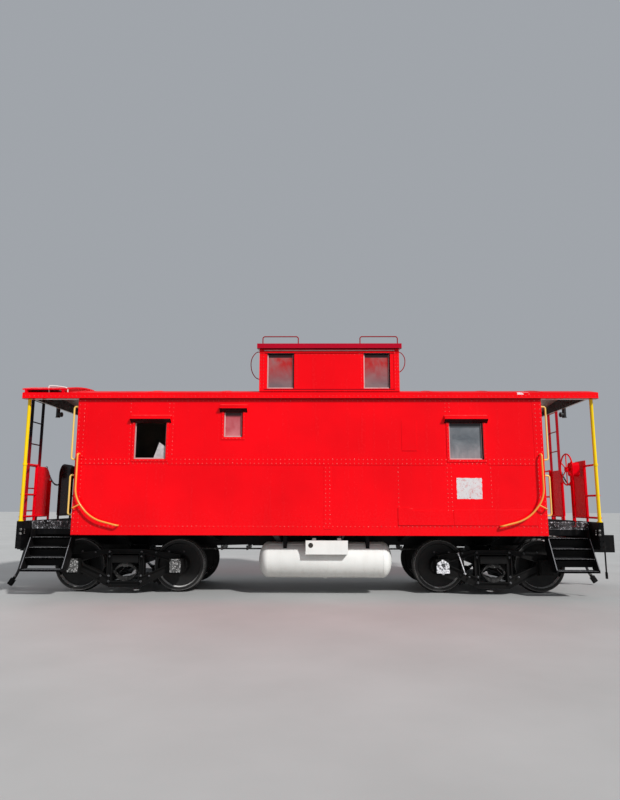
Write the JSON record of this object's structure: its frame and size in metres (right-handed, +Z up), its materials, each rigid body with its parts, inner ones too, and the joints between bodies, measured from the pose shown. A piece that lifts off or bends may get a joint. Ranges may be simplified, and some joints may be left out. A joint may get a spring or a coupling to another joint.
{
  "type": "caboose",
  "caption": "Steel railway caboose with a cupola, end platforms, steps and fuel tank, on leaf spring trucks.",
  "frame": {"origin": "midway between the trucks, on the centre line, level with the lowest point of the wheel flanges", "axes": "+X along the car towards end B, -Y towards the side with the fuel tank, +Z up"},
  "size_m": [10.8, 3.088, 4.234],
  "materials": {
    "body_red": "gloss",
    "fittings_red": "satin",
    "frame_black": "satin",
    "truck_black": "matt, dusty",
    "wheel_steel": "dark with worn treads",
    "post_yellow": "gloss",
    "grab_orange": "gloss",
    "grab_cream": "gloss",
    "tank_white": "gloss",
    "glass_milky": "weathered",
    "floor_wood": "worn boards",
    "chain_steel": "weathered",
    "hose_rubber": "matt",
    "lamp_grey": "satin"
  },
  "bodies": {
    "root": {"air_hose_a": "hose_rubber", "air_hose_b": "hose_rubber", "air_reservoir": "frame_black", "angle_cocks": "frame_black", "brake_cylinder": "frame_black", "brake_wheels": "fittings_red", "corner_posts": "post_yellow", "couplers": "truck_black", "cross_bearers": "frame_black", "cupola_ends": "body_red", "cupola_rails": "fittings_red", "cupola_roof": "body_red", "cupola_side_far": "body_red", "cupola_side_near": "body_red", "end_handrails": "grab_cream", "end_railing_a": "fittings_red", "end_railing_b": "fittings_red", "end_wall_a": "body_red", "end_wall_b": "body_red", "floor": "floor_wood", "fuel_tank": "tank_white", "glad_hand_a": "frame_black", "glad_hand_b": "frame_black", "hand_brakes": "fittings_red", "ladders": "fittings_red", "main_roof": "body_red", "platform_decks": "frame_black", "platform_lamps": "lamp_grey", "running_boards": "frame_black", "safety_chains": "chain_steel", "side_handrails": "grab_orange", "side_wall_far": "body_red", "side_wall_near": "body_red", "steps": "frame_black", "tank_hangers": "frame_black", "tank_valve": "frame_black", "uncoupling_levers": "frame_black", "underframe": "frame_black", "window_frames": "body_red", "window_glass": "glass_milky"},
    "truck_a": {"brake_beams_a": "truck_black", "truck_bolster_a": "truck_black", "truck_frame_a": "truck_black", "truck_springs_a": "truck_black"},
    "truck_b": {"brake_beams_b": "truck_black", "truck_bolster_b": "truck_black", "truck_frame_b": "truck_black", "truck_springs_b": "truck_black"},
    "end_door_a": {"door_a": "fittings_red", "door_glass_a": "glass_milky"},
    "end_door_b": {"door_b": "fittings_red", "door_glass_b": "glass_milky"},
    "knuckle_a": {"knuckle_a": "truck_black"},
    "knuckle_b": {"knuckle_b": "truck_black"},
    "valve_cover": {"tank_cover": "tank_white"},
    "wheelset_1": {"wheelset_1": "wheel_steel"},
    "wheelset_2": {"wheelset_2": "wheel_steel"},
    "wheelset_3": {"wheelset_3": "wheel_steel"},
    "wheelset_4": {"wheelset_4": "wheel_steel"}
  },
  "joints": [
    {"name": "truck_a_swivel", "type": "hinge", "parent": "root", "child": "truck_a", "pos_m": [-3.012, 0, 0.715], "axis": [0, 0, 1], "range_deg": [-5, 5]},
    {"name": "truck_b_swivel", "type": "hinge", "parent": "root", "child": "truck_b", "pos_m": [3.012, 0, 0.715], "axis": [0, 0, 1], "range_deg": [-5, 5]},
    {"name": "wheelset_1_roll", "type": "hinge", "parent": "truck_a", "child": "wheelset_1", "pos_m": [-3.8502, 0, 0.4445], "axis": [0, 1, 0], "continuous": true},
    {"name": "wheelset_2_roll", "type": "hinge", "parent": "truck_a", "child": "wheelset_2", "pos_m": [-2.1738, 0, 0.4445], "axis": [0, 1, 0], "continuous": true},
    {"name": "wheelset_3_roll", "type": "hinge", "parent": "truck_b", "child": "wheelset_3", "pos_m": [2.1738, 0, 0.4445], "axis": [0, 1, 0], "continuous": true},
    {"name": "wheelset_4_roll", "type": "hinge", "parent": "truck_b", "child": "wheelset_4", "pos_m": [3.8502, 0, 0.4445], "axis": [0, 1, 0], "continuous": true},
    {"name": "end_door_a_hinge", "type": "hinge", "parent": "root", "child": "end_door_a", "pos_m": [-3.698, -0.361, 2.08], "axis": [0, 0, -1], "range_deg": [0, 90]},
    {"name": "end_door_b_hinge", "type": "hinge", "parent": "root", "child": "end_door_b", "pos_m": [3.698, 0.361, 2.08], "axis": [0, 0, -1], "range_deg": [0, 90]},
    {"name": "valve_cover_hinge", "type": "hinge", "parent": "root", "child": "valve_cover", "pos_m": [0.29, -1.33, 0.902], "axis": [-1, 0, 0], "range_deg": [0, 85]},
    {"name": "knuckle_a_pivot", "type": "hinge", "parent": "root", "child": "knuckle_a", "pos_m": [-5.14, -0.105, 0.77], "axis": [0, 0, 1], "range_deg": [0, 45]},
    {"name": "knuckle_b_pivot", "type": "hinge", "parent": "root", "child": "knuckle_b", "pos_m": [5.14, 0.105, 0.77], "axis": [0, 0, 1], "range_deg": [0, 45]}
  ]
}
